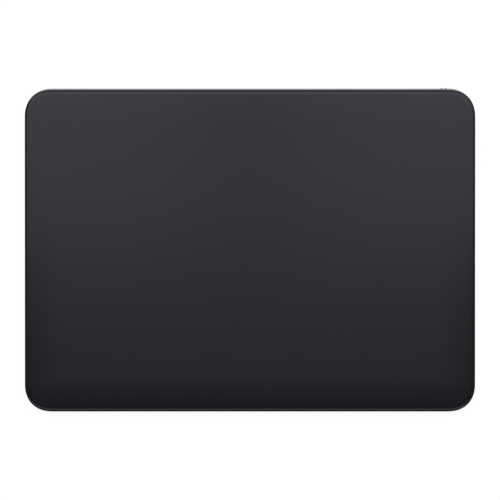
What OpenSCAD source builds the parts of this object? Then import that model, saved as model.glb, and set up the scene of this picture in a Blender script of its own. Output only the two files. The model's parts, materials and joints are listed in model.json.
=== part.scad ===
// Desktop trackpad: a sheet of touch glass that floats on a wedge-shaped housing.
// Millimetres. +X to the right, +Y to the rear, +Z up; the origin is on the desk under the middle.
// Pieces above the bottom cover are drawn in the deck frame: its origin is the middle of the
// glass top, its XY plane is the glass top, and it slopes up to the rear by deck_tilt.

/* [Body] */
// Width of the glass and of the housing
body_w = 160; // [154:1:200]
// Length of the glass, along its slope
deck_len = 114.5; // [112:0.5:140]
// Slope of the glass, rising to the rear, in degrees
deck_tilt = 3; // [2.9:0.1:4.5]
// Radius of the corners, seen square to the glass
corner_r = 9; // [8:0.5:12]
// Thickness of the housing walls
wall_t = 1.4; // [1.2:0.1:2]
// Thickness of the housing's deck plate
deck_t = 0.8; // [0.7:0.1:1.4]
// Gap between the deck plate and the bottom cover along the front wall
front_room = 0.28; // [0.24:0.02:1.5]

/* [Touch plate] */
// Thickness of the touch glass
glass_t = 1.1; // [0.9:0.1:2]
// Width of the border along which the glass rounds off
glass_edge_w = 1.9; // [1.2:0.1:3]
// Fall of that border, from the glass top to the outer edge
glass_edge_fall = 0.5; // [0.3:0.05:0.7]
// Gap between the glass and the housing rim
rim_gap = 0.3; // [0.26:0.02:0.5]
// Thickness of the film that bonds the glass to the sensor board
film_t = 0.15; // [0.1:0.05:0.4]
// Thickness of the sensor board
sensor_t = 0.6; // [0.5:0.1:1.2]
// Gap between the sensor board and the deck plate
plate_gap = 0.35; // [0.3:0.05:0.6]
// Gap between the sensor board and the housing walls
sensor_side_gap = 0.6; // [0.4:0.1:2]

/* [Bottom] */
// Height of the rubber feet below the housing
foot_h = 0.5; // [0.4:0.1:2]
// Diameter of a rubber foot
foot_d = 12; // [8:0.5:16]
// Depth of the seat that a foot is bonded into
foot_seat = 0.3; // [0.2:0.1:0.6]
// Distance from the sides of the housing to the middle of a foot
foot_inset = 15; // [13:0.5:24]
// Thickness of the bottom cover
cover_t = 1.2; // [1:0.1:2]
// Thickness of the adhesive ring that holds the bottom cover
gasket_t = 0.15; // [0.1:0.05:0.2]
// Gap around the bottom cover
cover_gap = 0.15; // [0.1:0.05:0.3]
// Wall left outside the bottom cover
lip_t = 1; // [0.8:0.1:1.1]
// Width of the ledge inside the walls that the cover is bonded to
ledge_w = 1.8; // [1.4:0.1:2.4]
// Thickness of that ledge
ledge_t = 1; // [0.7:0.1:1.1]

/* [Force sensing] */
// Distance from the side of the glass to the middle of a force puck
puck_inset_x = 14; // [12:0.5:16]
// Distance from the front or rear of the glass to the middle of a force puck
puck_inset_y = 15; // [14.5:0.5:18]
// Side of a force puck and its gel pad
puck_w = 8; // [6:0.5:8.5]
// Thickness of a force puck
puck_t = 0.6; // [0.5:0.1:0.7]
// Length of a flexure leaf, from its puck to its screws
leaf_len = 18; // [15:0.5:18.5]
// Width of a flexure leaf at its two pads
leaf_w = 9; // [8.5:0.5:9.5]
// Width of the bending neck of a leaf
neck_w = 5; // [3:0.5:7]
// Thickness of a flexure leaf
leaf_t = 0.4; // [0.3:0.05:0.5]

/* [Haptic actuator] */
// Number of teeth on the iron comb, each with a coil
tooth_count = 4; // [2:1:4]
// Distance between teeth
tooth_pitch = 4.4; // [4:0.1:4.6]
// Width of a tooth
tooth_w = 1.8; // [1.4:0.1:2]
// Length of a tooth
tooth_len = 14; // [10:0.5:15]
// Width of the bar that joins the teeth
yoke_w = 3; // [2:0.5:4]
// Thickness of the iron comb
core_t = 1.4; // [1:0.1:1.5]
// Thickness of a coil's winding beside its tooth
coil_side = 0.9; // [0.5:0.05:1]
// Thickness of a coil's winding above and below its tooth
coil_t = 0.45; // [0.3:0.05:0.5]
// Air gap between the teeth and the armature
air_gap = 0.35; // [0.3:0.05:0.6]
// Length of the armature plate that is bonded to the sensor board
armature_len = 12; // [8:0.5:14]
// Thickness of the armature plate
armature_t = 0.5; // [0.3:0.05:0.6]

/* [Electronics] */
// How far the main board reaches out past the middle line of the pucks
board_side = 2.9; // [0:0.1:6]
// Length of the main board
board_l = 22; // [20:0.5:23]
// Thickness of the main board
board_t = 0.6; // [0.5:0.1:0.8]
// Gap between the main board and the deck plate
board_standoff = 0.5; // [0.4:0.05:0.7]
// Height of the shield can on the main board
shield_h = 0.9; // [0.8:0.05:1]
// Thickness of the battery cell
battery_t = 3.2; // [2:0.1:3.3]
// Thickness of the adhesive strips on the battery
strip_t = 0.15; // [0.1:0.05:0.2]
// Gap between the battery cell and the flat cables beside and behind it
battery_gap = 1; // [0.5:0.1:12]
// Width of the long flat cables
flex_w = 3; // [2:0.25:3.5]
// Thickness of the flat cables
flex_t = 0.2; // [0.1:0.05:0.25]

/* [Socket and switch] */
// Inner width of the cable socket's mouth
mouth_w = 8.34; // [7:0.01:9]
// Inner height of the cable socket's mouth
mouth_h = 2.56; // [2:0.01:2.7]
// Wall of the socket shell
shell_t = 0.3; // [0.2:0.05:0.4]
// Length of the socket shell
shell_l = 7.4; // [6.5:0.1:7.4]
// Gap between the socket shell or switch knob and its hole in the housing
hole_gap = 0.2; // [0.15:0.05:0.3]
// Gap between the rear boards and the deck plate
rear_standoff = 0.6; // [0.5:0.05:0.8]
// Thickness of the port board and the switch board
rear_board_t = 0.8; // [0.6:0.1:0.9]
// Distance from the start of the rear right corner to the middle of the switch knob
knob_offset = 2.2; // [2:0.1:6]
// Length of the switch knob
knob_w = 5.2; // [4:0.1:5.4]
// Height of the switch knob
knob_h = 2.2; // [1.6:0.1:2.4]
// Travel of the switch knob, from its rest place towards the middle
knob_travel = 2; // [1:0.1:2.2]
// Distance between the two grip ribs of the knob
rib_pitch = 1.42; // [1:0.02:2]
// Width of a grip rib
rib_w = 0.5; // [0.2:0.02:0.6]
// How far a grip rib stands out from the rear face
rib_proud = 0.34; // [0.1:0.02:0.6]
// Height of the slide switch case
case_h = 3.4; // [3:0.1:3.5]

/* [Screws] */
// Diameter of a screw's shank
screw_d = 1.2; // [1:0.1:1.4]
// Diameter of a screw's head
head_d = 2.4; // [2:0.1:2.6]
// Thickness of a screw's head
head_t = 0.3; // [0.25:0.05:0.4]
// Diameter of the bosses that take the screws
boss_d = 3.2; // [2.8:0.1:3.4]
// Gap around a screw's shank in its hole
screw_gap = 0.05; // [0.04:0.01:0.1]

/* [Hidden] */
$fn = 64;

// Room for cutting solids to run past what they cut
over = 0.1;
reach = deck_len;
// Small running gap between a moving piece and what it slides by
slide_gap = 0.15;
// Least gap between the pieces under the deck and the bottom cover
cover_room = 0.15;

// Radius of the arc that the glass rounds off along, level with the glass top where it starts
glass_edge_r = (glass_edge_w * glass_edge_w / glass_edge_fall + glass_edge_fall) / 2;

// Levels in the deck frame, from the glass top downwards
glass_bot = -glass_t;
film_bot = glass_bot - film_t;
sensor_bot = film_bot - sensor_t;
rim_top = glass_bot - rim_gap;
deck_top = sensor_bot - plate_gap;
deck_bot = deck_top - deck_t;

// Levels above the desk
cover_top = foot_h + cover_t;
ledge_bot = cover_top + gasket_t;
ledge_top = ledge_bot + ledge_t;

// Place of the deck frame above the desk
half_w = body_w / 2;
half_l = deck_len / 2;
inner_rear = half_l - wall_t;
deck_z = cover_top + front_room + inner_rear * sin(deck_tilt) - deck_bot * cos(deck_tilt);
rear_foot = (foot_h - deck_z - half_l * sin(deck_tilt)) / cos(deck_tilt);
deck_y = rear_foot * sin(deck_tilt) / 2;

// Place along the slope where the room between deck and cover reaches a depth
function where_deep(depth) =
    -inner_rear + (depth * cos(deck_tilt) - front_room) / sin(deck_tilt);

// Force sensing
puck_x = half_w - puck_inset_x;
puck_y = half_l - puck_inset_y;
puck_r = 1.5;
puck_gap = 0.9;
gel_bot = sensor_bot - plate_gap;
leaf_top = gel_bot - puck_t;
leaf_bot = leaf_top - leaf_t;
leaf_pad = 6;
leaf_r = 1.2;
leaf_gap = 0.5;
leaf_screw_x = leaf_w / 2 - head_d / 2 - 0.4;
gauge_t = 0.1;
gauge_w = 3;
gauge_l = 4;

// Screw ends in the deck plate
screw_bite = 0.4;
hole_bite = 0.5;

// Haptic actuator
press_room = 0.55;
coil_gap = 0.05;
core_top = sensor_bot - press_room - coil_t - coil_gap;
core_bot = core_top - core_t;
bracket_top = core_bot - 2 * coil_gap - coil_t;
bracket_t = 0.3;
bracket_bot = bracket_top - bracket_t;
comb_l = (tooth_count - 1) * tooth_pitch + tooth_w;
bracket_side = 1.6;
bracket_l = comb_l + 2 * (coil_gap + coil_side) + bracket_side;
window_margin = 1;
window_l = bracket_l + 2 * window_margin;
chip_bay = 9;
touch_chip_w = 6;
touch_chip_h = 0.7;
memory_chip_w = 4;
armature_lip = 0.8;
coil_end = 0.4;
coil_drop = 3;
comb_w = yoke_w + tooth_len;
window_w = comb_w + air_gap + armature_len + 2 * chip_bay;
comb_x = -window_w / 2 + chip_bay;
pole_x = comb_x + comb_w;
act_screw_x = window_w / 2 + boss_d / 2 + window_margin;
act_screw_y = bracket_l / 2 - boss_d / 2;
act_y = max(
    where_deep(deck_bot - bracket_bot + cover_room) + bracket_l / 2,
    where_deep(deck_bot - bracket_bot + head_t + cover_room) + act_screw_y + head_d / 2
);

// Main board
board_top = deck_bot - board_standoff;
board_bot = board_top - board_t;
board_gap = 1;
board_right = -act_screw_x - boss_d / 2 - board_gap;
board_left = -puck_x - board_side;
board_w = board_right - board_left;
board_x = (board_left + board_right) / 2;
board_y = where_deep(deck_bot - board_bot + shield_h + cover_room) + board_l / 2;
board_r = 1;
board_edge = 0.2;
board_screw_x = board_w / 2 - boss_d / 2 - board_edge;
board_screw_y = board_l / 2 - boss_d / 2 - board_edge;
// Chips under the main board: x, y, width, length and height
board_chip_list = [
    [-9, -3.5, 7, 7, 0.7], [-11.5, 4.5, 4, 4, 0.6], [-5.5, 5, 3, 3, 0.75],
    [-15.8, -1, 2, 3.2, 0.6], [-1, 6.5, 2.5, 1.6, 0.5],
    [4.5, -1.5, 5, 5, 0.6], [11.2, 0, 3, 4, 0.6]
];
shield_x = 8;
shield_y = -1.5;
shield_w = 15;
shield_l = 11;
shield_r = 0.8;
shield_t = 0.15;

// Hatch in the deck for the sensor flex, above the main board
hatch_shift = 6;
hatch_x = board_x + hatch_shift;
hatch_y = board_y;
hatch_w = 16;
hatch_l = 8;
hatch_plug_x = 4;
hatch_plug_w = 5;
hatch_plug_l = 6;
hatch_plug_h = 0.6;
hatch_plug_top = board_top + hatch_plug_h;
hatch_flex_t = 0.15;

// Lanes of the flat cables under the deck
lane_gap = 1;
lane_clear = 0.25;
lane_inset = 8;
lane_y = half_l - lane_inset;
rear_screw_y = lane_y + flex_w / 2 + lane_clear + boss_d / 2;
gauge_lane_x = puck_x - leaf_w / 2 - leaf_gap - lane_gap - flex_w / 2;
port_lane_x = gauge_lane_x - flex_w - lane_gap;

// Antenna, in front of the main board
antenna_l = 6.5;
antenna_arm = 2;
antenna_t = 0.25;
antenna_gap = 1;
antenna_end = 4;
antenna_left = -gauge_lane_x + flex_w / 2 + lane_gap;
antenna_right = board_right - antenna_end;
antenna_bot = deck_bot - antenna_t;
antenna_front = board_y - board_l / 2 - antenna_gap - antenna_l;
feed_w = 2;
feed_l = 1.2;
feed_step = 8;
ground_x = antenna_right - feed_w / 2;
feed_x = ground_x - feed_step;

// Battery
strip_bot = deck_bot - strip_t;
battery_bot = strip_bot - battery_t;
tab_board_w = 18;
tab_board_l = 3.2;
tab_board_t = 0.8;
tab_gap = 1.2;
battery_front = max(
    where_deep(deck_bot - battery_bot + 2 * cover_room),
    board_y + board_l / 2 + board_gap + tab_board_l + tab_gap
);
fold_room = 2.3;
battery_rear = lane_y - flex_w / 2 - battery_gap - fold_room;
battery_step = 0.1;
battery_l = floor((battery_rear - battery_front) / battery_step) * battery_step;
battery_y = battery_front + battery_l / 2;
battery_w = 2 * (port_lane_x - flex_w / 2 - battery_gap);
battery_r = 3;
battery_edge = 0.8;
tab_w = 4;
tab_t = 0.15;
tab_step = 6;
tab_lap = 1.5;
tab_board_step = 4;
tab_board_x = board_x + tab_board_step;
tab_board_rear = battery_front - tab_gap;
flex_bot = deck_bot - flex_t;

// Plugs and turns of the flat cables
plug_w = 5;
plug_l = 1.6;
board_plug_y = board_y + board_l / 2 - plug_l;
port_plug_step = 2;
port_plug_x = board_x - port_plug_step;
jog_gap = 0.2;
jog_y = board_y + board_l / 2 + jog_gap + flex_w / 2;
cross_y = antenna_front - lane_gap - flex_w / 2;
coil_flex_w = 2.4;
coil_step = 5;
coil_flex_y = board_y + coil_step;
coil_plug_x = board_right - plug_w / 2 - jog_gap;

// Ribs under the deck
stiff_count = 4;
stiff_from = -board_right;
stiff_to = gauge_lane_x - flex_w / 2 - lane_gap;
stiff_pitch = (stiff_to - stiff_from) / stiff_count;
stiff_w = 0.8;
stiff_h = 1.2;

// Cable socket
shell_w = mouth_w + 2 * shell_t;
shell_h = mouth_h + 2 * shell_t;
rear_board_top = deck_bot - rear_standoff;
rear_board_bot = rear_board_top - rear_board_t;
port_z = rear_board_bot - shell_h / 2;
mouth_recess = 0.35;
shell_v = half_l - mouth_recess;
port_board_w = 21;
port_board_front = shell_v - shell_l;
port_board_rear = inner_rear - 0.35;
port_screw_x = port_board_w / 2 - boss_d / 2 - 0.7;
clamp_t = 0.3;
clamp_gap = 0.1;
clamp_l = 2.8;
plug_x = 3.4;
tongue_w = 6.7;
tongue_t = 0.7;
tongue_back = 1.2;
tongue_recess = 1.2;
contact_count = 12;
contact_pitch = 0.5;
contact_w = 0.26;
contact_t = 0.06;
contact_l = 3.4;
contact_gap = 0.3;
tongue_fit = 0.05;

// Power switch
knob_x = half_w - corner_r - knob_offset;
slot_x = knob_x - knob_travel / 2;
slot_w = knob_w + knob_travel + 2 * hole_gap;
slot_h = knob_h + 2 * hole_gap;
switch_z = rear_board_bot - case_h / 2;
pocket_depth = 0.2;
pocket_h = 4.4;
pocket_end = 0.6;
flange_t = 0.8;
flange_h = 3.4;
flange_side = 0.4;
flange_w = slot_w + knob_travel + 2 * flange_side;
flange_v = inner_rear + pocket_depth - slide_gap;
pocket_w = flange_w + knob_travel + 2 * pocket_end;
case_gap = 0.5;
case_w = 9;
case_l = 3.8;
case_v = flange_v - flange_t - case_gap;
lever_w = 1.4;
lever_h = 1.2;
lever_grip = 0.4;
lever_root = 1.2;
lever_fit = 0.05;
knob_recess = 0.1;
rib_end = 0.25;
switch_board_w = 15;
switch_board_rear = rear_screw_y + 1.5;
switch_screw_x = switch_board_w / 2 - boss_d / 2 - 0.1;

// Feet
foot_fit = 0.1;
foot_bevel = 0.2;

glass_c = "#35363a";
metal_c = "#c9cacc";
steel_c = "#a9abb0";
iron_c = "#6d6f73";
copper_c = "#b8733a";
board_c = "#23402f";
chip_c = "#1d1e21";
flex_c = "#8a5a24";
cell_c = "#3b3d42";
cover_c = "#e3e3e1";
rubber_c = "#d6d6d3";
film_c = "#e9e6da";
gel_c = "#cfd6dc";
gold_c = "#d3ac55";

// Carries a drawing from the deck frame to its place above the desk
module on_deck() {
    translate([0, deck_y, deck_z]) rotate([deck_tilt, 0, 0]) children();
}

// Carries an outline drawn in XZ, seen from behind, to a cut that runs forward from y
module from_rear(x, y, z) {
    translate([x, y, z]) rotate([90, 0, 0]) children();
}

module rounded_rect(w, l, r) {
    square([w - 2 * r, l], center = true);
    square([w, l - 2 * r], center = true);
    for (x = [-1, 1], y = [-1, 1]) translate([x * (w / 2 - r), y * (l / 2 - r)]) circle(r);
}

module stadium(w, h) {
    square([w - h, h], center = true);
    for (x = [-1, 1]) translate([x * (w - h) / 2, 0]) circle(d = h);
}

module block(x, y, w, l, bottom, top) {
    translate([x - w / 2, y - l / 2, bottom]) cube([w, l, top - bottom]);
}

// Upright slab of the body's outline, drawn in from the side by an inset
module outline_slab(inset, bottom, top) {
    translate([0, 0, bottom]) linear_extrude(top - bottom)
        rounded_rect(body_w - 2 * inset, deck_len - 2 * inset, corner_r - inset);
}

// Level layer of the whole desk between two heights
module layer(bottom, top) {
    block(0, 0, body_w + reach, deck_len + reach, bottom, top);
}

// Part of the body's outline between two heights above the desk
module level_slab(inset, bottom, top) {
    intersection() {
        on_deck() outline_slab(inset, -reach, 0);
        layer(bottom, top);
    }
}

// Screw with its head down, its head's upper face at the origin
module screw(shank) {
    difference() {
        union() {
            translate([0, 0, -head_t]) cylinder(d = head_d, h = head_t);
            cylinder(d = screw_d, h = shank);
        }
        translate([0, 0, -head_t - over]) cylinder(d = head_d / 2, h = head_t / 2 + over, $fn = 6);
    }
}

module screw_hole(bottom, top) {
    translate([0, 0, bottom]) cylinder(d = screw_d + 2 * screw_gap, h = top - bottom);
}

// Repeats a drawing at the four corners of a rectangle
module at_corners(x, y) {
    for (i = [-1, 1], j = [-1, 1]) translate([i * x, j * y, 0]) children();
}

// Repeats a drawing at the four force pucks, with +Y turned towards the middle of the body
module at_pucks() {
    for (i = [-1, 1], j = [-1, 1])
        translate([i * puck_x, j * puck_y, 0]) mirror([0, j > 0 ? 1 : 0, 0]) children();
}

module at_leaf_screws() {
    at_pucks() for (i = [-1, 1]) translate([i * leaf_screw_x, leaf_len, 0]) children();
}

module at_actuator_screws() {
    translate([0, act_y, 0]) at_corners(act_screw_x, act_screw_y) children();
}

module at_board_screws() {
    translate([board_x, board_y, 0]) at_corners(board_screw_x, board_screw_y) children();
}

module at_port_screws() {
    for (i = [-1, 1]) translate([i * port_screw_x, rear_screw_y, 0]) children();
}

module at_switch_screws() {
    for (i = [-1, 1]) translate([slot_x + i * switch_screw_x, rear_screw_y, 0]) children();
}

// Touch plate: what moves with the glass

// Sheet with round corners, standing on its flat underside
// Its child is the half section of its border, from the corner's axis out to its side
module rounded_sheet(w, l, r, t) {
    translate([-w / 2 + r, -l / 2 + r, 0]) cube([w - 2 * r, l - 2 * r, t]);
    for (turn = [0:3]) {
        across = turn % 2 == 0 ? w : l;
        along = turn % 2 == 0 ? l : w;
        rotate([0, 0, 90 * turn]) {
            translate([across / 2 - r, 0, 0]) rotate([90, 0, 0])
                linear_extrude(along - 2 * r, center = true) children();
            translate([across / 2 - r, along / 2 - r, 0])
                rotate_extrude(angle = 90) children();
        }
    }
}

// Flat glass up to its border, which falls along an arc
module glass_section() {
    flat = corner_r - glass_edge_w;
    square([flat, glass_t]);
    intersection() {
        translate([flat, 0]) square([glass_edge_w, glass_t]);
        translate([flat, glass_t - glass_edge_r]) circle(glass_edge_r);
    }
}

module touch_glass() {
    color(glass_c) on_deck() translate([0, 0, glass_bot])
        rounded_sheet(body_w, deck_len, corner_r, glass_t) glass_section();
}

module sensor_film() {
    color(film_c) on_deck() outline_slab(wall_t + sensor_side_gap, film_bot, glass_bot);
}

module sensor_board() {
    color(board_c) on_deck() outline_slab(wall_t + sensor_side_gap, sensor_bot, film_bot);
}

// Touch controllers in the bays beside the actuator, and the plug of the sensor flex
module sensor_chips() {
    bay_x = window_w / 2 - chip_bay / 2;
    color(chip_c) on_deck() {
        for (i = [-1, 1])
            block(-bay_x, act_y + i * chip_bay / 2, touch_chip_w, touch_chip_w,
                sensor_bot - touch_chip_h, sensor_bot);
        block(bay_x, act_y, memory_chip_w, touch_chip_w, sensor_bot - touch_chip_h, sensor_bot);
        block(hatch_x + hatch_plug_x, hatch_y, hatch_plug_w, hatch_plug_l,
            sensor_bot - hatch_plug_h, sensor_bot);
    }
}

// Steel angle: a leaf bonded to the sensor board and a lip that faces the teeth
module armature_plate() {
    lip_x = pole_x + air_gap;
    color(steel_c) on_deck() translate([0, act_y, 0]) rotate([90, 0, 0])
        linear_extrude(comb_l, center = true) {
            translate([lip_x, sensor_bot - armature_t]) square([armature_len, armature_t]);
            translate([lip_x, core_bot]) square([armature_lip, sensor_bot - core_bot]);
        }
}

// Force sensing

module puck_block(bottom, top) {
    translate([0, 0, bottom]) linear_extrude(top - bottom) rounded_rect(puck_w, puck_w, puck_r);
}

module gel_pads() {
    color(gel_c) on_deck() at_pucks() puck_block(gel_bot, sensor_bot);
}

module force_pucks() {
    color(steel_c) on_deck() at_pucks() puck_block(leaf_top, gel_bot);
}

module leaf_outline() {
    rounded_rect(leaf_w, leaf_w, leaf_r);
    translate([0, leaf_len / 2]) square([neck_w, leaf_len], center = true);
    translate([0, leaf_len]) rounded_rect(leaf_w, leaf_pad, leaf_r);
}

module force_flexures() {
    color(steel_c) on_deck() difference() {
        at_pucks() translate([0, 0, leaf_bot]) linear_extrude(leaf_t) leaf_outline();
        at_leaf_screws() screw_hole(leaf_bot - over, leaf_top + over);
    }
}

module strain_gauges() {
    color(flex_c) on_deck() at_pucks()
        block(0, leaf_len / 2, gauge_w, gauge_l, leaf_bot - gauge_t, leaf_bot);
}

// Cable that joins the gauges: a run on each side, one across the front, and a tail to each gauge
module gauge_flex() {
    gauge_y = puck_y - leaf_len / 2;
    tail_bot = leaf_bot - gauge_t - flex_t;
    bend_x = puck_x - leaf_w / 2 - leaf_gap;
    tail_x = puck_x - neck_w / 2 - leaf_gap;
    end_x = puck_x + gauge_w / 2;
    color(flex_c) on_deck() {
        flex_run([-gauge_lane_x, cross_y], [gauge_lane_x, cross_y], flex_w);
        for (i = [-1, 1]) flex_run([i * gauge_lane_x, -gauge_y], [i * gauge_lane_x, gauge_y], flex_w);
        for (i = [-1, 1], j = [-1, 1]) translate([0, j * gauge_y, 0]) mirror([i < 0 ? 1 : 0, 0, 0])
            rotate([90, 0, 0]) linear_extrude(flex_w, center = true) polygon([
                [gauge_lane_x, flex_bot + flex_t], [bend_x, flex_bot + flex_t],
                [tail_x, tail_bot + flex_t], [end_x, tail_bot + flex_t],
                [end_x, tail_bot], [tail_x, tail_bot], [bend_x, flex_bot], [gauge_lane_x, flex_bot]
            ]);
    }
}

module flexure_screws() {
    color(steel_c) on_deck() at_leaf_screws()
        translate([0, 0, leaf_bot]) screw(leaf_t + screw_bite);
}

// Housing

// Room that the leaf needs in the underside of the deck plate
module leaf_recess() {
    block(0, (leaf_len + leaf_pad / 2) / 2, leaf_w + 2 * leaf_gap, leaf_len + leaf_pad / 2 + 2 * leaf_gap,
        deck_bot - over, leaf_top);
}

module deck_windows() {
    block(0, act_y, window_w, window_l, deck_bot - over, deck_top + over);
    block(hatch_x, hatch_y, hatch_w, hatch_l, deck_bot - over, deck_top + over);
    at_pucks() {
        puck_side = puck_w + 2 * puck_gap;
        translate([0, 0, deck_bot - over]) linear_extrude(deck_t + 2 * over)
            rounded_rect(puck_side, puck_side, puck_r);
        leaf_recess();
    }
}

module deck_boss(bottom) {
    translate([0, 0, bottom]) cylinder(d = boss_d, h = deck_bot - bottom + over);
}

module deck_bosses() {
    at_actuator_screws() deck_boss(bracket_top);
    at_board_screws() deck_boss(board_top);
    at_port_screws() deck_boss(rear_board_top);
    at_switch_screws() deck_boss(rear_board_top);
}

// Stiffening ribs under the deck, in the bay across from the main board
module deck_ribs() {
    for (i = [0:stiff_count - 1])
        block(stiff_from + (i + 0.5) * stiff_pitch, board_y, stiff_w, board_l,
            deck_bot - stiff_h, deck_bot + over);
}

module deck_screw_holes() {
    at_actuator_screws() screw_hole(bracket_top - over, deck_bot + hole_bite);
    at_board_screws() screw_hole(board_top - over, deck_bot + hole_bite);
    at_port_screws() screw_hole(rear_board_top - over, deck_bot + hole_bite);
    at_switch_screws() screw_hole(rear_board_top - over, deck_bot + hole_bite);
    at_leaf_screws() screw_hole(leaf_top - over, leaf_top + hole_bite);
}

// Holes for the socket and the switch, and the room behind them
module rear_openings() {
    from_rear(0, half_l + over, port_z) linear_extrude(wall_t + 2 * over)
        stadium(shell_w + 2 * hole_gap, shell_h + 2 * hole_gap);
    from_rear(slot_x, half_l + over, switch_z) linear_extrude(wall_t + 2 * over)
        stadium(slot_w, slot_h);
    block(slot_x, inner_rear + pocket_depth - ledge_w / 2, pocket_w, ledge_w,
        switch_z - pocket_h / 2, switch_z + pocket_h / 2);
    block(0, inner_rear - ledge_w / 2, shell_w + 2 * ledge_w, ledge_w + over,
        port_z - shell_h / 2 - hole_gap, deck_bot);
}

module housing_shell() {
    difference() {
        intersection() {
            on_deck() outline_slab(0, -reach, rim_top);
            layer(foot_h, reach);
        }
        on_deck() outline_slab(wall_t, deck_top, reach);
        intersection() {
            on_deck() outline_slab(wall_t, -reach, deck_bot);
            layer(ledge_top, reach);
        }
        on_deck() outline_slab(wall_t + ledge_w, -reach, deck_bot);
        level_slab(lip_t, -reach, ledge_bot);
    }
}

module housing() {
    color(metal_c) difference() {
        union() {
            housing_shell();
            on_deck() {
                deck_bosses();
                deck_ribs();
            }
        }
        on_deck() {
            deck_windows();
            deck_screw_holes();
            rear_openings();
        }
    }
}

// Haptic actuator

module tooth_places() {
    for (i = [0:tooth_count - 1])
        translate([comb_x + yoke_w, act_y + (i - (tooth_count - 1) / 2) * tooth_pitch, 0]) children();
}

module actuator_core() {
    color(iron_c) on_deck() {
        block(comb_x + yoke_w / 2, act_y, yoke_w, comb_l, core_bot, core_top);
        tooth_places() block(tooth_len / 2, 0, tooth_len, tooth_w, core_bot, core_top);
    }
}

module actuator_coils() {
    hole_w = tooth_w + 2 * coil_gap;
    hole_t = core_t + 2 * coil_gap;
    coil_len = tooth_len - 2 * coil_end;
    color(copper_c) on_deck() tooth_places()
        translate([coil_end, 0, (core_top + core_bot) / 2]) rotate([90, 0, 90])
            linear_extrude(coil_len) difference() {
                rounded_rect(hole_w + 2 * coil_side, hole_t + 2 * coil_t, coil_t);
                square([hole_w, hole_t], center = true);
            }
}

// Steel tray screwed under the deck, with a raised step that carries the comb
module actuator_bracket() {
    ear_w = 2 * act_screw_x + boss_d;
    color(steel_c) on_deck() difference() {
        union() {
            translate([0, act_y, bracket_bot]) linear_extrude(bracket_t)
                rounded_rect(ear_w, bracket_l, boss_d / 2);
            block(comb_x + yoke_w / 2, act_y, yoke_w, comb_l, bracket_top - over, core_bot);
        }
        at_actuator_screws() screw_hole(bracket_bot - over, bracket_top + over);
        for (i = [-1, 1]) translate([i * act_screw_x, act_y, bracket_bot - over])
            linear_extrude(bracket_t + 2 * over) rotate([0, 0, 90])
                stadium(2 * act_screw_y - 2 * boss_d, boss_d);
    }
}

// Cable from the yoke, where the coil ends are soldered, down under the deck to the main board
module coil_flex() {
    high = core_top + flex_t;
    start_x = comb_x + yoke_w;
    bend_x = comb_x;
    under_x = comb_x - coil_drop;
    end_x = coil_plug_x - plug_w / 2;
    color(flex_c) on_deck() translate([0, coil_flex_y, 0]) rotate([90, 0, 0])
        linear_extrude(coil_flex_w, center = true) polygon([
            [start_x, high], [bend_x, high], [under_x, deck_bot], [end_x, deck_bot],
            [end_x, flex_bot], [under_x, flex_bot], [bend_x, core_top], [start_x, core_top]
        ]);
}

module actuator_screws() {
    color(steel_c) on_deck() at_actuator_screws()
        translate([0, 0, bracket_bot]) screw(bracket_t + deck_bot - bracket_top + screw_bite);
}

// Main board

module main_board() {
    color(board_c) on_deck() difference() {
        translate([board_x, board_y, board_bot]) linear_extrude(board_t)
            rounded_rect(board_w, board_l, board_r);
        at_board_screws() screw_hole(board_bot - over, board_top + over);
    }
}

// Plug on a board's upper face, up to the flat cable under the deck
module flex_plug(x, y, board_face) {
    block(x, y, plug_w, plug_l, board_face, flex_bot);
}

// Chip on the underside of the main board: its place from the board's middle and its size
module board_chip(chip) {
    block(board_x + chip[0], board_y + chip[1], chip[2], chip[3], board_bot - chip[4], board_bot);
}

module board_chips() {
    color(chip_c) on_deck() {
        for (chip = board_chip_list) board_chip(chip);
        flex_plug(port_plug_x, board_plug_y, board_top);
        flex_plug(-gauge_lane_x, board_y, board_top);
        flex_plug(coil_plug_x, coil_flex_y, board_top);
        flex_plug(tab_board_x, board_plug_y, board_top);
        block(hatch_x - hatch_plug_x, hatch_y, hatch_plug_w, hatch_plug_l, board_top, hatch_plug_top);
        for (x = [feed_x, ground_x]) block(x, board_y - board_l / 2 + feed_l / 2, feed_w, feed_l,
            board_top, antenna_bot);
    }
}

module shield_can() {
    color(metal_c) on_deck() translate([board_x + shield_x, board_y + shield_y, board_bot - shield_h])
        difference() {
            linear_extrude(shield_h) rounded_rect(shield_w, shield_l, shield_r);
            translate([0, 0, shield_t]) linear_extrude(shield_h)
                rounded_rect(shield_w - 2 * shield_t, shield_l - 2 * shield_t, shield_r - shield_t);
        }
}

module board_screws() {
    color(steel_c) on_deck() at_board_screws()
        translate([0, 0, board_bot]) screw(board_t + board_standoff + screw_bite);
}

// Inverted-F strip bonded under the deck, with its feed and ground legs over the main board
module antenna_strip() {
    leg_l = board_y - board_l / 2 + feed_l - antenna_front;
    color(flex_c) on_deck() translate([0, antenna_front, antenna_bot])
        linear_extrude(antenna_t) {
            translate([antenna_left, 0]) square([antenna_right - antenna_left, antenna_arm]);
            for (x = [feed_x, ground_x]) translate([x - feed_w / 2, 0]) square([feed_w, leg_l]);
        }
}

// Battery

// Straight side under a round upper edge
module battery_section() {
    level = battery_t - battery_edge;
    square([battery_r, level]);
    square([battery_r - battery_edge, battery_t]);
    translate([battery_r - battery_edge, level]) intersection() {
        circle(battery_edge);
        square(battery_edge);
    }
}

// Pouch with its long sides rolled in, lying along X
module battery_cell() {
    color(cell_c) on_deck() translate([0, battery_y, battery_bot])
        rounded_sheet(battery_w, battery_l, battery_r, battery_t) battery_section();
}

module battery_strips() {
    color(film_c) on_deck() for (i = [-1, 1])
        block(i * battery_w / 4, battery_y, battery_w / 4, battery_l - 2 * battery_r, strip_bot, deck_bot);
}

module battery_board() {
    color(board_c) on_deck() block(tab_board_x, tab_board_rear - tab_board_l / 2, tab_board_w,
        tab_board_l, flex_bot - tab_board_t, flex_bot);
}

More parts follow.
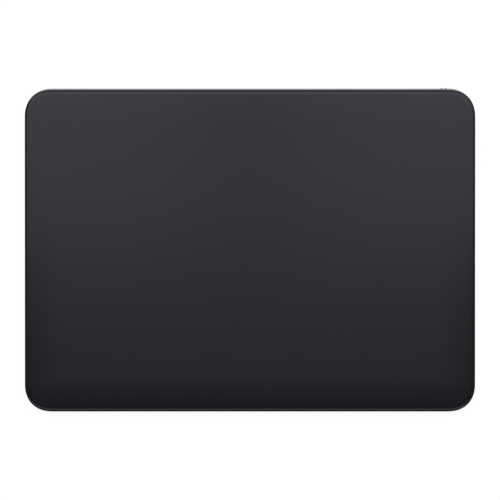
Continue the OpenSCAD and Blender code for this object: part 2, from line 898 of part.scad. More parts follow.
// Nickel strips from the cell to the underside of its protection board
module battery_tabs() {
    top = flex_bot - tab_board_t;
    length = tab_gap + tab_lap;
    color(steel_c) on_deck() for (i = [0, 1])
        block(tab_board_x + i * tab_step, battery_front - length / 2, tab_w, length, top - tab_t, top);
}

module battery_flex() {
    front = board_plug_y - plug_l / 2;
    color(flex_c) on_deck() translate([tab_board_x - flex_w / 2, front, flex_bot])
        cube([flex_w, tab_board_rear - front, flex_t]);
}

// Flat cables

// Strip that steps down from the plug on the sensor board to the plug on the main board
module sensor_flex() {
    high = sensor_bot - hatch_plug_h;
    low = hatch_plug_top + hatch_flex_t;
    end = hatch_plug_x + hatch_plug_w / 2;
    bend = hatch_plug_x - hatch_plug_w / 2;
    color(flex_c) on_deck() translate([hatch_x, hatch_y, 0]) rotate([90, 0, 0])
        linear_extrude(hatch_plug_l, center = true) polygon([
            [-end, low], [-bend, low], [bend, high], [end, high],
            [end, high - hatch_flex_t], [bend, high - hatch_flex_t],
            [-bend, low - hatch_flex_t], [-end, low - hatch_flex_t]
        ]);
}

// Straight run of flat cable between two points of its middle line, along X or Y
module flex_run(from, to, w) {
    low = [min(from[0], to[0]), min(from[1], to[1])];
    high = [max(from[0], to[0]), max(from[1], to[1])];
    translate([low[0] - w / 2, low[1] - w / 2, flex_bot])
        cube([high[0] - low[0] + w, high[1] - low[1] + w, flex_t]);
}

module port_flex() {
    stops = [[port_plug_x, board_plug_y], [port_plug_x, jog_y], [-port_lane_x, jog_y],
        [-port_lane_x, lane_y], [-plug_x, lane_y]];
    color(flex_c) on_deck() for (i = [1:len(stops) - 1]) flex_run(stops[i - 1], stops[i], flex_w);
}

module switch_flex() {
    color(flex_c) on_deck() flex_run([plug_x, lane_y], [slot_x, lane_y], flex_w);
}

// Cable socket

module port_board() {
    color(board_c) on_deck() difference() {
        union() {
            translate([-port_board_w / 2, port_board_front, rear_board_bot])
                cube([port_board_w, port_board_rear - port_board_front, rear_board_t]);
            for (i = [-1, 1]) flex_plug(i * plug_x, port_board_front + plug_l / 2, rear_board_top - over);
        }
        at_port_screws() screw_hole(rear_board_bot - over, rear_board_top + over);
    }
}

module port_shell() {
    color(steel_c) on_deck() from_rear(0, shell_v, port_z) linear_extrude(shell_l) difference() {
        stadium(shell_w, shell_h);
        stadium(mouth_w, mouth_h);
    }
}

module port_tongue() {
    tongue_l = shell_l - tongue_recess;
    plug_side = 2 * tongue_fit;
    color(chip_c) on_deck() {
        from_rear(0, shell_v - shell_l + tongue_back, port_z) linear_extrude(tongue_back)
            stadium(mouth_w - plug_side, mouth_h - plug_side);
        block(0, shell_v - tongue_recess - tongue_l / 2, tongue_w, tongue_l,
            port_z - tongue_t / 2, port_z + tongue_t / 2);
    }
}

module port_contacts() {
    rear = shell_v - tongue_recess - contact_gap;
    color(gold_c) on_deck() for (i = [0:contact_count - 1], side = [-1, 1]) {
        x = (i - (contact_count - 1) / 2) * contact_pitch;
        z = port_z + side * (tongue_t + contact_t) / 2;
        block(x, rear - contact_l / 2, contact_w, contact_l, z - contact_t / 2, z + contact_t / 2);
    }
}

// Steel strap that holds the socket up against its board
module port_clamp() {
    bottom = rear_board_bot - shell_h - clamp_t;
    inner = shell_w / 2 + clamp_gap;
    ear = port_board_w / 2 - inner - clamp_t;
    color(steel_c) on_deck() difference() {
        translate([0, rear_screw_y, 0]) rotate([90, 0, 0]) linear_extrude(clamp_l, center = true) {
            translate([-inner - clamp_t, bottom]) square([2 * (inner + clamp_t), clamp_t]);
            for (i = [-1, 1]) {
                translate([i * (inner + clamp_t / 2) - clamp_t / 2, bottom])
                    square([clamp_t, rear_board_bot - bottom]);
                translate([i * (inner + clamp_t + ear / 2) - ear / 2 - over, rear_board_bot - clamp_t])
                    square([ear + over, clamp_t]);
            }
        }
        at_port_screws() screw_hole(bottom, rear_board_bot + over);
    }
}

module port_screws() {
    color(steel_c) on_deck() at_port_screws() translate([0, 0, rear_board_bot - clamp_t])
        screw(clamp_t + rear_board_t + rear_standoff + screw_bite);
}

// Power switch

// Slider with two grip ribs outside the rear face and a flange behind it
module switch_knob() {
    face_v = half_l - knob_recess;
    rib_l = knob_h - 2 * rib_end;
    color(metal_c) on_deck() difference() {
        union() {
            from_rear(knob_x, face_v, switch_z) linear_extrude(face_v - flange_v + over)
                stadium(knob_w, knob_h);
            from_rear(knob_x, flange_v, switch_z) linear_extrude(flange_t)
                square([flange_w, flange_h], center = true);
            for (i = [-1, 1]) from_rear(knob_x + i * rib_pitch / 2, half_l + rib_proud, switch_z)
                linear_extrude(rib_proud + knob_recess + over) square([rib_w, rib_l], center = true);
        }
        from_rear(knob_x, flange_v - flange_t + lever_grip, switch_z) linear_extrude(lever_grip + over)
            square([lever_w + 2 * lever_fit, lever_h + 2 * lever_fit], center = true);
    }
}

module switch_lever() {
    tip = flange_v - flange_t + lever_grip - lever_fit;
    root = case_v - lever_root;
    color(chip_c) on_deck() from_rear(knob_x, tip, switch_z) linear_extrude(tip - root)
        square([lever_w, lever_h], center = true);
}

module switch_case() {
    color(steel_c) on_deck() difference() {
        from_rear(slot_x, case_v, switch_z) linear_extrude(case_l)
            square([case_w, case_h], center = true);
        from_rear(slot_x, case_v + over, switch_z) linear_extrude(lever_root + slide_gap + over)
            square([lever_w + knob_travel + 2 * slide_gap, lever_h + 2 * slide_gap], center = true);
    }
}

module switch_board() {
    color(board_c) on_deck() difference() {
        union() {
            translate([slot_x - switch_board_w / 2, port_board_front, rear_board_bot])
                cube([switch_board_w, switch_board_rear - port_board_front, rear_board_t]);
            flex_plug(slot_x, port_board_front + plug_l / 2, rear_board_top - over);
        }
        at_switch_screws() screw_hole(rear_board_bot - over, rear_board_top + over);
    }
}

module switch_screws() {
    color(steel_c) on_deck() at_switch_screws() translate([0, 0, rear_board_bot])
        screw(rear_board_t + rear_standoff + screw_bite);
}

// Bottom

module cover_gasket() {
    color(film_c) difference() {
        level_slab(lip_t + cover_gap, cover_top, ledge_bot);
        on_deck() outline_slab(wall_t + ledge_w, -reach, 0);
    }
}

module at_feet() {
    at_corners(half_w - foot_inset, half_l * cos(deck_tilt) - foot_inset) children();
}

module bottom_cover() {
    color(cover_c) difference() {
        level_slab(lip_t + cover_gap, foot_h, cover_top);
        at_feet() translate([0, 0, foot_h - over]) cylinder(d = foot_d + 2 * foot_fit, h = foot_seat + over);
    }
}

module feet() {
    color(rubber_c) at_feet() {
        cylinder(d1 = foot_d - 2 * foot_bevel, d2 = foot_d, h = foot_bevel);
        translate([0, 0, foot_bevel]) cylinder(d = foot_d, h = foot_h + foot_seat - foot_bevel);
    }
}

touch_glass();
sensor_film();
sensor_board();
sensor_chips();
armature_plate();
gel_pads();
force_pucks();
force_flexures();
strain_gauges();
gauge_flex();
flexure_screws();
housing();
actuator_bracket();
actuator_core();
actuator_coils();
coil_flex();
actuator_screws();
main_board();
board_chips();
shield_can();
board_screws();
antenna_strip();
battery_cell();
battery_tabs();
battery_board();
battery_strips();
battery_flex();
sensor_flex();
port_flex();
switch_flex();
port_shell();
port_tongue();
port_contacts();
port_board();
port_clamp();
port_screws();
switch_knob();
switch_lever();
switch_case();
switch_board();
switch_screws();
cover_gasket();
bottom_cover();
feet();
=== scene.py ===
import json
import math
from functools import cached_property

import bmesh
import bpy
from mathutils import Matrix, Vector


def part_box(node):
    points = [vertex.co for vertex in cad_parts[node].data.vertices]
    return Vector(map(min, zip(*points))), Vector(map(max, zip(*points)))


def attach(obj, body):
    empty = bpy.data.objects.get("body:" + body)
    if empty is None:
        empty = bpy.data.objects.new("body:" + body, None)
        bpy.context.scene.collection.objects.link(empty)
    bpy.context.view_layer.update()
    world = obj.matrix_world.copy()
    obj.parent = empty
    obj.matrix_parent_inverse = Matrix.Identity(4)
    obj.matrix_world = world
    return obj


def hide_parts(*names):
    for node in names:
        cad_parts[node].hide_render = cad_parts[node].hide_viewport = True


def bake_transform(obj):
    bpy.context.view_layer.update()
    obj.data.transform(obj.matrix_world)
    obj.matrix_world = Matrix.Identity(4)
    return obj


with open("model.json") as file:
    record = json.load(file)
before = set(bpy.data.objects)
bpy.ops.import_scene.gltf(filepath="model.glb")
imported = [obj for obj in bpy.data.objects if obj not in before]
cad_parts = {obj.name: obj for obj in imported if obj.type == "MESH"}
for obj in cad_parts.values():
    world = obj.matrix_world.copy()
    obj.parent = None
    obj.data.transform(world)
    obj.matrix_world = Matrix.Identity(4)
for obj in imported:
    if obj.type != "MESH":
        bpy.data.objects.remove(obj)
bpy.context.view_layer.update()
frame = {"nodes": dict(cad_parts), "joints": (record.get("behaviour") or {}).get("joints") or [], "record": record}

# Lengths are in metres, and small ones are written in millimetres
MM = 0.001

# Camera: the photograph's width in pixels, how many of them a millimetre takes at the height of the glass,
# the lens and the sensor in millimetres, and how far behind the part's middle the camera stands
PHOTO_PIXELS = 500
PIXELS_PER_MM = 2.815
CAMERA_LENS = 1200
CAMERA_SENSOR = 36
CAMERA_Y = 0.01 * MM

# Touch glass: its length along the deck, and its thickness
GLASS_LENGTH = 114.5 * MM
GLASS_THICKNESS = 1.1 * MM

# Corners of the glass: their size at its side, their least size further in, the superellipse's power, the
# steps round a corner, and the sides in X and Y of each corner in turn
CORNER_SIZE = 10.2 * MM
INNER_CORNER = 1.5 * MM
CORNER_POWER = 2.37
CORNER_STEPS = 28
CORNER_SIDES = ((1, 1), (-1, 1), (-1, -1), (1, -1))

# Border of the glass, from the flat top outwards: a crown and a round edge, whose widths are the insets from
# the side at which they start, then a small nose round to the upright side, and a bevel underneath
CROWN_WIDTH = 12.2 * MM
CROWN_DROP = 0.27 * MM
CROWN_STEPS = 10
EDGE_WIDTH = 1.86 * MM
EDGE_SWEEP = math.radians(27.5)
EDGE_STEPS = 12
NOSE_RADIUS = 0.12 * MM
NOSE_STEPS = 5
UNDER_BEVEL = 0.15 * MM

# Housing: the corner radius of its wall, the rounding of the edges on the wall, and the most corners that a
# face has without being cut into triangles
HOUSING_CORNER = 9 * MM
RIM_ROUND = 0.15 * MM
RIM_STEPS = 3
ROUND_PROFILE = 0.5
QUAD_CORNERS = 4

# Sensor cable: the length of the plug at each end, and the cuts along its slope
CABLE_PLUG = 5 * MM
CABLE_CUTS = 9

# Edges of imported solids: how far they are rounded, from which angle an edge counts as sharp and up to which
# two faces count as one flat face, and how near points have to be to count as one, or as on a surface
SOFT_EDGES = {
    "bottom_cover": 0.1 * MM,
    "feet": 0.12 * MM,
    "switch_knob": 0.06 * MM,
    "port_shell": 0.05 * MM,
}
SOFT_STEPS = 2
SOFT_ANGLE = math.radians(40)
FLAT_ANGLE = math.radians(0.1)
WELD_GAP = 0.001 * MM
TOUCH_GAP = 0.01 * MM

# Looks that the record doesn't hold: the glass's gloss and the tint of its reflections, how far the metal's
# colour is darkened, partly to its own duller tone and partly as painted shade for the dim floor it
# reflects, what it reflects at a grazing angle, and how glossy the feet and how clear the gel are
GLASS_IOR = 1.5
GLASS_TINT = (0.94, 0.97, 1.11)
METAL_TONE = 0.8
METAL_GRAZE = (0.55, 0.55, 0.55)
FOOT_GLOSS = 0.35
GEL_CLEAR = 0.35

# Switch knob: how far its face lies inside the rear wall, the colour of its grip ribs, and the heights over
# the face at which their dark starts and is full
KNOB_RECESS = 0.1 * MM
RIB_COLOUR = (0.02, 0.02, 0.022)
RIB_FADE = (0.02 * MM, 0.05 * MM)

# Textures: the range that most of a texture lies in, the detail of a fine grain, the length of a wave at a
# scale of 1, the scale and line width of a circuit's pattern, and how brushing draws a grain out along X
TEXTURE_RANGE = (0.3, 0.7)
GRAIN_DETAIL = 3.0
WAVE_LENGTH = math.pi / 10
CIRCUIT_SCALE = 120
CIRCUIT_LINE = 0.03
BRUSH_STRETCH = (0.08, 3, 3)

# Floor: its size, colour and roughness, and its shade and glow for rays that show it as the white ground
FLOOR_SIZE = 40
FLOOR_COLOUR = 0.8
FLOOR_ROUGHNESS = 0.9
FLOOR_SHARE = 0.4
FLOOR_GLOW = 0.83

# Sky: its tone at the horizon and overhead, and the upward shares of a direction between which it fades
SKY_RIM = 1.0
SKY_TOP = 0.148
SKY_FADE = (0.02, 0.14)

# Lamps: panels that face down from one height, each with its left and right side, its front and rear end,
# and its radiance
PANEL_HEIGHT = 0.577
PANEL_FRONT = -0.06
PANEL_REAR = 0.102
PANELS = {
    "panel_rear": {"sides": (-0.54, 0.54), "ends": (PANEL_REAR, 0.476), "radiance": 1.3},
    "panel_far": {"sides": (-0.54, 0.54), "ends": (0.58, 1.05), "radiance": 0.7},
    "panel_left": {"sides": (-0.6, -0.009), "ends": (PANEL_FRONT, PANEL_REAR), "radiance": 0.985},
    "panel_right": {"sides": (0.009, 0.6), "ends": (PANEL_FRONT, PANEL_REAR), "radiance": 0.985},
    "panel_middle": {"sides": (-0.104, 0.104), "ends": (-0.134, PANEL_FRONT), "radiance": 0.31},
    "panel_front": {"sides": (-0.8, 0.8), "ends": (-0.696, -0.521), "radiance": 1.17},
}


def deck_matrix():
    """The deck frame: tilted as the press joint is, its origin in the middle of the glass's top."""
    press = next(joint for joint in frame["joints"] if joint["name"] == "plate_press")
    tilt = math.asin(press["axis"][1])
    low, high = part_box("touch_glass")
    y = high.y - GLASS_LENGTH / 2 * math.cos(tilt) - GLASS_THICKNESS * math.sin(tilt)
    z = low.z + GLASS_LENGTH / 2 * math.sin(tilt) + GLASS_THICKNESS * math.cos(tilt)
    return Matrix.Translation((0, y, z)) @ Matrix.Rotation(tilt, 4, "X")


# Mesh helpers

def link(obj):
    """Puts an object into the scene."""
    bpy.context.scene.collection.objects.link(obj)
    return obj


def mesh_object(name, points, faces):
    """Makes an object of points and faces."""
    mesh = bpy.data.meshes.new(name)
    mesh.from_pydata(points, [], faces)
    mesh.validate()
    return link(bpy.data.objects.new(name, mesh))


def node_shape(name):
    """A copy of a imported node's mesh, welded, with each flat face whole."""
    shape = bmesh.new()
    shape.from_mesh(frame["nodes"][name].data)
    bmesh.ops.remove_doubles(shape, verts=shape.verts, dist=WELD_GAP)
    bmesh.ops.dissolve_limit(shape, angle_limit=FLAT_ANGLE, verts=shape.verts, edges=shape.edges)
    return shape


def shape_object(name, shape, material):
    """Makes an object of a shape, in one material, smooth but for its sharp edges."""
    mesh = bpy.data.meshes.new(name)
    shape.to_mesh(mesh)
    shape.free()
    mesh.materials.clear()
    mesh.materials.append(material)
    obj = link(bpy.data.objects.new(name, mesh))
    smooth_normals(obj)
    mesh.set_sharp_from_angle(angle=SOFT_ANGLE)
    return obj


def smooth_normals(obj):
    """Smooth normals that follow the large faces, and stay split at edges that are marked as sharp."""
    for face in obj.data.polygons:
        face.use_smooth = True
    normals = obj.modifiers.new("normals", "WEIGHTED_NORMAL")
    normals.keep_sharp = True


# Shader helpers

def shade(colour, factor):
    """A colour made darker or lighter by a factor."""
    return tuple(factor * part for part in colour[:3])


def grey(tone):
    """An opaque grey."""
    return (tone, tone, tone, 1)


class Surface:
    """A material with a principled shader, and short ways to add textures to it, in real sizes."""

    def __init__(self, name):
        self.material = bpy.data.materials.new(name)
        self.material.use_nodes = True
        self.tree = self.material.node_tree
        self.shader = self.tree.nodes["Principled BSDF"]

    @cached_property
    def place(self):
        """Where a point of the surface lies, in metres."""
        return self.add("ShaderNodeTexCoord").outputs["Object"]

    def add(self, kind, **settings):
        """Adds a node and sets its properties."""
        made = self.tree.nodes.new(kind)
        for key, value in settings.items():
            setattr(made, key, value)
        return made

    def fill(self, socket, value):
        """Sets a socket to a constant, or links an output to it."""
        if isinstance(value, bpy.types.NodeSocket):
            self.tree.links.new(value, socket)
        else:
            socket.default_value = value

    def join(self, made, *values):
        """Fills the first sockets of a node, in their order."""
        for socket, value in zip(made.inputs, values):
            self.fill(socket, value)

    def put(self, socket, value):
        """Fills a socket of the shader."""
        self.fill(self.shader.inputs[socket], value)

    def stretched(self, scale):
        """The place, scaled along each axis."""
        mapping = self.add("ShaderNodeMapping")
        self.fill(mapping.inputs["Vector"], self.place)
        mapping.inputs["Scale"].default_value = scale
        return mapping.outputs["Vector"]

    def along(self, direction):
        """How far the place lies along a direction."""
        reach = self.add("ShaderNodeVectorMath", operation="DOT_PRODUCT")
        self.join(reach, self.place, direction)
        return reach.outputs["Value"]

    def noise(self, size, detail=2.0, vector=None):
        """Cloudy noise whose patches are about a size in millimetres."""
        texture = self.add("ShaderNodeTexNoise")
        self.fill(texture.inputs["Vector"], vector or self.place)
        texture.inputs["Scale"].default_value = 1 / (size * MM)
        texture.inputs["Detail"].default_value = detail
        return texture.outputs["Fac"]

    def bands(self, size, axis, distortion):
        """Bands across an axis, a size in millimetres apart."""
        texture = self.add("ShaderNodeTexWave", bands_direction=axis)
        self.fill(texture.inputs["Vector"], self.place)
        texture.inputs["Scale"].default_value = WAVE_LENGTH / (size * MM)
        texture.inputs["Distortion"].default_value = distortion
        return texture.outputs["Fac"]

    def spread(self, factor, low, high, span=TEXTURE_RANGE):
        """A number that goes from low to high as a factor goes through a span."""
        ranged = self.add("ShaderNodeMapRange")
        self.fill(ranged.inputs["Value"], factor)
        for name, value in zip(("From Min", "From Max", "To Min", "To Max"), (*span, low, high)):
            ranged.inputs[name].default_value = value
        return ranged.outputs["Result"]

    def tones(self, texture, colour, low, high):
        """A colour that goes from low to high times its brightness as a texture does."""
        ramp = self.add("ShaderNodeValToRGB")
        self.fill(ramp.inputs["Fac"], texture)
        for stop, place, factor in zip(ramp.color_ramp.elements, TEXTURE_RANGE, (low, high)):
            stop.position = place
            stop.color = (*shade(colour, factor), 1)
        return ramp.outputs["Color"]

    def drift(self, colour, vary, patch):
        """A colour that drifts by a share over patches of a size in millimetres."""
        return self.tones(self.noise(patch), colour, 1 - vary, 1 + vary)

    def mixed(self, factor, first, second):
        """The first colour where a factor is 0, and the second where it is 1."""
        mix = self.add("ShaderNodeMix", data_type="RGBA")
        sockets = {socket.identifier: socket for socket in mix.inputs}
        for name, value in (("Factor_Float", factor), ("A_Color", first), ("B_Color", second)):
            self.fill(sockets[name], value)
        return next(socket for socket in mix.outputs if socket.identifier == "Result_Color")

    def relief(self, height, depth):
        """Surface relief of a depth in millimetres."""
        bump = self.add("ShaderNodeBump")
        self.fill(bump.inputs["Height"], height)
        bump.inputs["Distance"].default_value = depth * MM
        self.put("Normal", bump.outputs["Normal"])

    def wear(self, pattern, rough, depth):
        """Gives the surface gloss and relief that follow a pattern."""
        self.put("Roughness", self.spread(pattern, *rough))
        self.relief(pattern, depth)


def grained(name, rough, grain, depth):
    """A surface whose gloss and relief follow a fine grain, still without its colour."""
    surface = Surface(name)
    surface.wear(surface.noise(grain, detail=GRAIN_DETAIL), rough, depth)
    return surface


def plain(name, colour, vary, patch, rough, grain, depth):
    """A grained surface whose colour drifts over patches."""
    surface = grained(name, rough, grain, depth)
    surface.put("Base Color", surface.drift(colour, vary, patch))
    return surface


def glass(name, colour, rough, grain, depth):
    """Black glass with the tint of its reflections."""
    surface = plain(name, colour, vary=0.06, patch=22, rough=rough, grain=grain, depth=depth)
    surface.put("IOR", GLASS_IOR)
    surface.put("Specular Tint", (*GLASS_TINT, 1))
    return surface


def brushed(name, colour, rough):
    """Metal with a grain drawn out along X."""
    surface = Surface(name)
    lines = surface.noise(size=0.5, detail=GRAIN_DETAIL, vector=surface.stretched(BRUSH_STRETCH))
    surface.put("Base Color", surface.tones(lines, colour, low=0.92, high=1.06))
    surface.put("Metallic", 1.0)
    surface.wear(lines, rough, depth=0.003)
    return surface


def banded(name, colour, pitch, axis, rough, depth, metallic):
    """A surface of fine layers, windings or tracks side by side."""
    surface = Surface(name)
    rows = surface.bands(pitch, axis, distortion=0.4)
    surface.put("Base Color", surface.tones(rows, colour, low=0.7, high=1.1))
    surface.put("Metallic", metallic)
    surface.wear(rows, rough, depth)
    return surface


# Materials: a function for each slot of the record, which it is named after, and one for the glass's edge

def glass_black(colour):
    return glass("glass_black", colour, rough=(0.18, 0.21), grain=0.14, depth=0.002)


def glass_edge(colour):
    return glass("glass_edge", colour, rough=(0.165, 0.2), grain=0.3, depth=0.001)


def aluminium_silver(colour):
    # The metal's colour, darkened partly to its own duller tone and partly as painted shade
    # for the dim floor that it reflects
    tone_and_shade = shade(colour, METAL_TONE)
    metal = plain("aluminium_silver", tone_and_shade, vary=0.025, patch=9, rough=(0.34, 0.44), grain=0.16, depth=0.006)
    metal.put("Metallic", 1.0)
    metal.put("Specular Tint", (*METAL_GRAZE, 1))
    return metal


def knob_metal(colour):
    """Blasted metal; the grip ribs are dark where they stand proud of the knob's face."""
    surface = grained("knob_metal", rough=(0.36, 0.46), grain=0.12, depth=0.005)
    deck = deck_matrix()
    rearward = deck.to_3x3() @ Vector((0, 1, 0))
    face = rearward.dot(deck.translation) + GLASS_LENGTH / 2 - KNOB_RECESS
    fade = [face + height for height in RIB_FADE]
    proud = surface.spread(surface.along(rearward), low=0, high=1, span=fade)
    metal = surface.drift(colour, vary=0.04, patch=3)
    dark = surface.drift(RIB_COLOUR, vary=0.2, patch=0.4)
    surface.put("Base Color", surface.mixed(proud, metal, dark))
    surface.put("Metallic", surface.spread(proud, low=1, high=0, span=(0, 1)))
    return surface


def cover_plastic(colour):
    return plain("cover_plastic", colour, vary=0.02, patch=14, rough=(0.42, 0.56), grain=0.22, depth=0.012)


def foot_rubber(colour):
    surface = plain("foot_rubber", colour, vary=0.04, patch=4, rough=(0.62, 0.8), grain=0.18, depth=0.02)
    surface.put("Specular IOR Level", FOOT_GLOSS)
    return surface


def adhesive_film(colour):
    return plain("adhesive_film", colour, vary=0.06, patch=2.5, rough=(0.5, 0.7), grain=0.3, depth=0.01)


def circuit_board(colour):
    """Solder mask over a pattern of tracks, which show a little lighter."""
    surface = grained("circuit_board", rough=(0.26, 0.4), grain=0.5, depth=0.004)
    tracks = surface.add("ShaderNodeTexBrick")
    surface.fill(tracks.inputs["Vector"], surface.stretched(scale=(1, 1, 0)))
    tracks.inputs["Scale"].default_value = CIRCUIT_SCALE
    tracks.inputs["Mortar Size"].default_value = CIRCUIT_LINE
    for name, factor in (("Color1", 0.9), ("Color2", 1.1), ("Mortar", 1.9)):
        tracks.inputs[name].default_value = (*shade(colour, factor), 1)
    surface.put("Base Color", tracks.outputs["Color"])
    return surface


def chip_black(colour):
    return plain("chip_black", colour, vary=0.1, patch=1.5, rough=(0.45, 0.6), grain=0.12, depth=0.006)


def steel(colour):
    return brushed("steel", colour, rough=(0.22, 0.36))


def screw_steel(colour):
    return brushed("screw_steel", colour, rough=(0.26, 0.4))


def core_iron(colour):
    return banded("core_iron", colour, pitch=0.35, axis="Z", rough=(0.4, 0.55), depth=0.01, metallic=0.9)


def copper(colour):
    return banded("copper", colour, pitch=0.14, axis="X", rough=(0.22, 0.34), depth=0.03, metallic=0.9)


def gel(colour):
    surface = plain("gel", colour, vary=0.05, patch=2, rough=(0.12, 0.25), grain=0.6, depth=0.01)
    surface.put("Transmission Weight", GEL_CLEAR)
    return surface


def flex_amber(colour):
    return banded("flex_amber", colour, pitch=0.6, axis="X", rough=(0.2, 0.3), depth=0.008, metallic=0.0)


def cell_wrap(colour):
    return plain("cell_wrap", colour, vary=0.12, patch=6, rough=(0.3, 0.48), grain=1.2, depth=0.03)


def contact_gold(colour):
    metal = plain("contact_gold", colour, vary=0.05, patch=0.5, rough=(0.16, 0.28), grain=0.1, depth=0.002)
    metal.put("Metallic", 1.0)
    return metal


FINISHES = (
    glass_black, aluminium_silver, knob_metal, cover_plastic, foot_rubber, adhesive_film, circuit_board,
    chip_black, steel, screw_steel, core_iron, copper, gel, flex_amber, cell_wrap, contact_gold,
)


def finish_nodes():
    """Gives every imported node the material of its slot, and returns the materials by slot."""
    colours = {row["slot"]: row["base_color"] for row in frame["record"]["materials"]}
    materials = {make.__name__: make(colours[make.__name__]).material for make in FINISHES}
    materials["glass_edge"] = glass_edge(colours["glass_black"]).material
    for row in frame["record"]["subparts"]:
        frame["nodes"][row["node"]].material_slots[0].material = materials[row["material_slot"]]
    return materials


def soften_edges():
    """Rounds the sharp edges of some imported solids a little, as a blasted or moulded edge is."""
    for name, width in SOFT_EDGES.items():
        obj = frame["nodes"][name]
        weld = obj.modifiers.new("weld", "WELD")
        weld.merge_threshold = WELD_GAP
        flat = obj.modifiers.new("flat", "DECIMATE")
        flat.decimate_type = "DISSOLVE"
        flat.angle_limit = FLAT_ANGLE
        bevel = obj.modifiers.new("bevel", "BEVEL")
        bevel.width = width
        bevel.segments = SOFT_STEPS
        bevel.limit_method = "ANGLE"
        bevel.angle_limit = SOFT_ANGLE
        bevel.harden_normals = True


# Housing

def wall_depth(point, half_width):
    """How far a point of the deck frame lies inside the outer wall of the housing."""
    beyond_x = max(abs(point.x) - half_width + HOUSING_CORNER, 0)
    beyond_y = max(abs(point.y) - GLASS_LENGTH / 2 + HOUSING_CORNER, 0)
    return HOUSING_CORNER - math.hypot(beyond_x, beyond_y)


def rim_edges(shape):
    """The sharp edges of the housing that lie on its outer wall."""
    _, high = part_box("housing")
    to_deck = deck_matrix().inverted()
    wall = {corner for corner in shape.verts if wall_depth(to_deck @ corner.co, high.x) < TOUCH_GAP}
    sharp = [edge for edge in shape.edges if edge.calc_face_angle(0) > SOFT_ANGLE]
    return [edge for edge in sharp if wall.issuperset(edge.verts)]


def housing_shell(metal):
    """The housing with the rims of its wall rounded, and the mouths of the two openings in it."""
    shape = node_shape("housing")
    rims = rim_edges(shape)
    bmesh.ops.bevel(
        shape, geom=rims, offset=RIM_ROUND, segments=RIM_STEPS, profile=ROUND_PROFILE, affect="EDGES"
    )
    many_sided = [face for face in shape.faces if len(face.verts) > QUAD_CORNERS]
    bmesh.ops.triangulate(shape, faces=many_sided, ngon_method="BEAUTY")
    obj = shape_object("housing_finish", shape, metal)
    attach(obj, "base")
    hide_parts("housing")


# Sensor cable

def sensor_cable(amber):
    """The flat cable under the sensor board, whose slope gives as the plate is pressed; here the slope is cut into
    short lengths.
    """
    shape = node_shape("sensor_flex")
    low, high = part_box("sensor_flex")
    start, end = low.x + CABLE_PLUG, high.x - CABLE_PLUG
    middles = {edge: (edge.verts[0].co.x + edge.verts[1].co.x) / 2 for edge in shape.edges}
    slope = [edge for edge, middle in middles.items() if start + TOUCH_GAP < middle < end - TOUCH_GAP]
    bmesh.ops.subdivide_edges(shape, edges=slope, cuts=CABLE_CUTS)
    obj = shape_object("sensor_flex_finish", shape, amber)
    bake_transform(obj)
    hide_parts("sensor_flex")


# Touch glass

def glass_outline(inset):
    """Points round the glass at an inset from its side, each corner a quarter of a superellipse."""
    low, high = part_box("touch_glass")
    corner = max(CORNER_SIZE - inset, INNER_CORNER)
    centre_x = (high.x - low.x) / 2 - inset - corner
    centre_y = GLASS_LENGTH / 2 - inset - corner
    points = []
    for side_x, side_y in CORNER_SIDES:
        for step in range(CORNER_STEPS + 1):
            share = step / CORNER_STEPS
            angle = math.pi / 2 * (share if side_x == side_y else 1 - share)
            out_x = corner * math.cos(angle) ** (2 / CORNER_POWER)
            out_y = corner * math.sin(angle) ** (2 / CORNER_POWER)
            points.append((side_x * (centre_x + out_x), side_y * (centre_y + out_y)))
    return points


def crown_rings():
    """Inset and height of the rings over the crown, which falls along a parabola."""
    rings = []
    for step in range(CROWN_STEPS):
        share = step / CROWN_STEPS
        rings.append((CROWN_WIDTH + share * (EDGE_WIDTH - CROWN_WIDTH), -CROWN_DROP * share ** 2))
    return rings


def edge_rings():
    """Rings down the edge: an arc that leans on at the slope at which the crown ends."""
    lean = 2 * CROWN_DROP / (CROWN_WIDTH - EDGE_WIDTH)
    nose_width = NOSE_RADIUS * (1 - math.sin(EDGE_SWEEP))
    radius = (EDGE_WIDTH - nose_width) / math.sin(EDGE_SWEEP)
    rings = []
    for step in range(EDGE_STEPS + 1):
        angle = EDGE_SWEEP * step / EDGE_STEPS
        out = radius * math.sin(angle)
        rings.append((EDGE_WIDTH - out, -CROWN_DROP - lean * out - radius * (1 - math.cos(angle))))
    return rings


def nose_rings(top):
    """Rings round the nose, from the height at which the edge ends down to the upright side."""
    rings = []
    for step in range(1, NOSE_STEPS + 1):
        angle = EDGE_SWEEP + (math.pi / 2 - EDGE_SWEEP) * step / NOSE_STEPS
        fall = NOSE_RADIUS * (math.cos(EDGE_SWEEP) - math.cos(angle))
        rings.append((NOSE_RADIUS * (1 - math.sin(angle)), top - fall))
    return rings


def glass_profile():
    """Inset and height of each ring of points, from the flat top over the edge to the underside."""
    rings = crown_rings() + edge_rings()
    _, top = rings[-1]
    rings += nose_rings(top)
    rings.append((0, UNDER_BEVEL - GLASS_THICKNESS))
    rings.append((UNDER_BEVEL, -GLASS_THICKNESS))
    return rings


def glass_sheet(etched, edge):
    """The touch glass: an etched top with a polished round edge."""
    deck = deck_matrix()
    rings = glass_profile()
    points = [deck @ Vector((x, y, height)) for inset, height in rings for x, y in glass_outline(inset)]
    count = len(points) // len(rings)
    faces = [tuple(range(count)), tuple(range(len(points) - 1, len(points) - count - 1, -1))]
    etched_faces = len(faces) + CROWN_STEPS * count
    for ring in range(len(rings) - 1):
        for i in range(count):
            a = ring * count + i
            b = ring * count + (i + 1) % count
            faces.append((a, a + count, b + count, b))
    obj = mesh_object("touch_glass_finish", points, faces)
    obj.data.materials.append(etched)
    obj.data.materials.append(edge)
    for face in obj.data.polygons:
        face.material_index = 0 if face.index < etched_faces else 1
    smooth_normals(obj)
    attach(obj, "touch_plate")
    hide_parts("touch_glass")


# Studio

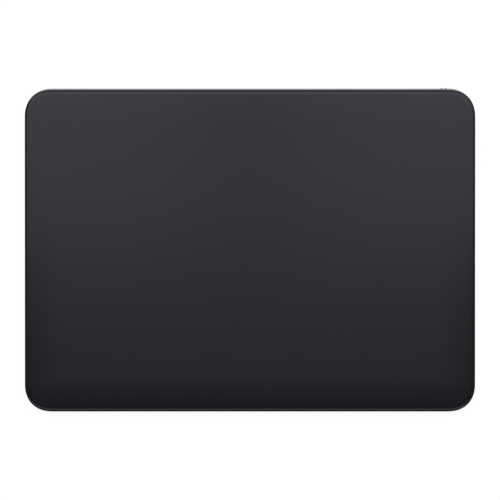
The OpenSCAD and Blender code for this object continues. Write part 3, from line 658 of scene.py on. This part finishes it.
def make_camera():
    """A camera straight above, far enough for the long lens to flatten the view as the photograph does."""
    data = bpy.data.cameras.new("camera")
    data.lens = CAMERA_LENS
    data.sensor_width = CAMERA_SENSOR
    distance = PHOTO_PIXELS / PIXELS_PER_MM * MM * CAMERA_LENS / CAMERA_SENSOR
    camera = link(bpy.data.objects.new("camera", data))
    camera.location = (0, CAMERA_Y, deck_matrix().translation.z + distance)
    bpy.context.scene.camera = camera


def shown_rays(surface):
    """Is 1 for the rays that show the floor as the white ground: straight, in gloss or through glass."""
    path = surface.add("ShaderNodeLightPath")
    rays = path.outputs["Is Camera Ray"]
    for kind in ("Is Glossy Ray", "Is Transmission Ray"):
        either = surface.add("ShaderNodeMath", operation="MAXIMUM")
        surface.join(either, rays, path.outputs[kind])
        rays = either.outputs["Value"]
    return rays


def floor_material():
    """Pale floor: diffuse, and with a glow for the rays that show it as the white ground."""
    surface = Surface("floor")
    surface.put("Base Color", grey(FLOOR_COLOUR))
    surface.put("Roughness", FLOOR_ROUGHNESS)
    surface.put("Specular IOR Level", 0.0)
    dim = surface.add("ShaderNodeBsdfDiffuse")
    dim.inputs["Color"].default_value = grey(FLOOR_SHARE)
    glow = surface.add("ShaderNodeEmission")
    glow.inputs["Strength"].default_value = FLOOR_GLOW
    shown = surface.add("ShaderNodeAddShader")
    surface.join(shown, dim.outputs["BSDF"], glow.outputs["Emission"])
    mix = surface.add("ShaderNodeMixShader")
    surface.join(mix, shown_rays(surface), surface.shader.outputs["BSDF"], shown.outputs["Shader"])
    surface.fill(surface.tree.nodes["Material Output"].inputs["Surface"], mix.outputs["Shader"])
    return surface.material


def make_floor():
    """A wide level floor under the feet."""
    half = FLOOR_SIZE / 2
    corners = [(-half, -half, 0), (half, -half, 0), (half, half, 0), (-half, half, 0)]
    floor = mesh_object("floor", corners, [(0, 1, 2, 3)])
    floor.data.materials.append(floor_material())


def make_sky():
    """A world that is white round the horizon and dim overhead."""
    world = bpy.data.worlds.new("sky")
    bpy.context.scene.world = world
    world.use_nodes = True
    tree = world.node_tree
    ramp = tree.nodes.new("ShaderNodeValToRGB")
    for stop, place, tone in zip(ramp.color_ramp.elements, SKY_FADE, (SKY_RIM, SKY_TOP)):
        stop.position = place
        stop.color = grey(tone)
    parts = tree.nodes.new("ShaderNodeSeparateXYZ")
    coordinates = tree.nodes.new("ShaderNodeTexCoord")
    tree.links.new(coordinates.outputs["Generated"], parts.inputs["Vector"])
    tree.links.new(parts.outputs["Z"], ramp.inputs["Fac"])
    tree.links.new(ramp.outputs["Color"], tree.nodes["Background"].inputs["Color"])


def softbox(name, sides, ends, radiance):
    """A soft panel lamp that faces down; a radiance of 1 is white."""
    left, right = sides
    front, rear = ends
    data = bpy.data.lights.new(name, "AREA")
    data.shape = "RECTANGLE"
    data.size = right - left
    data.size_y = rear - front
    data.energy = radiance * math.pi * data.size * data.size_y
    lamp = link(bpy.data.objects.new(name, data))
    lamp.location = ((left + right) / 2, (front + rear) / 2, PANEL_HEIGHT)
    lamp.visible_camera = False


def make_lights():
    """Hangs the lamps over the part."""
    for name, panel in PANELS.items():
        softbox(name, **panel)


make_camera()
make_floor()
make_sky()
make_lights()
finishes = finish_nodes()
soften_edges()
housing_shell(finishes["aluminium_silver"])
sensor_cable(finishes["flex_amber"])
glass_sheet(finishes["glass_black"], finishes["glass_edge"])
bpy.context.scene.view_settings.view_transform = "Standard"
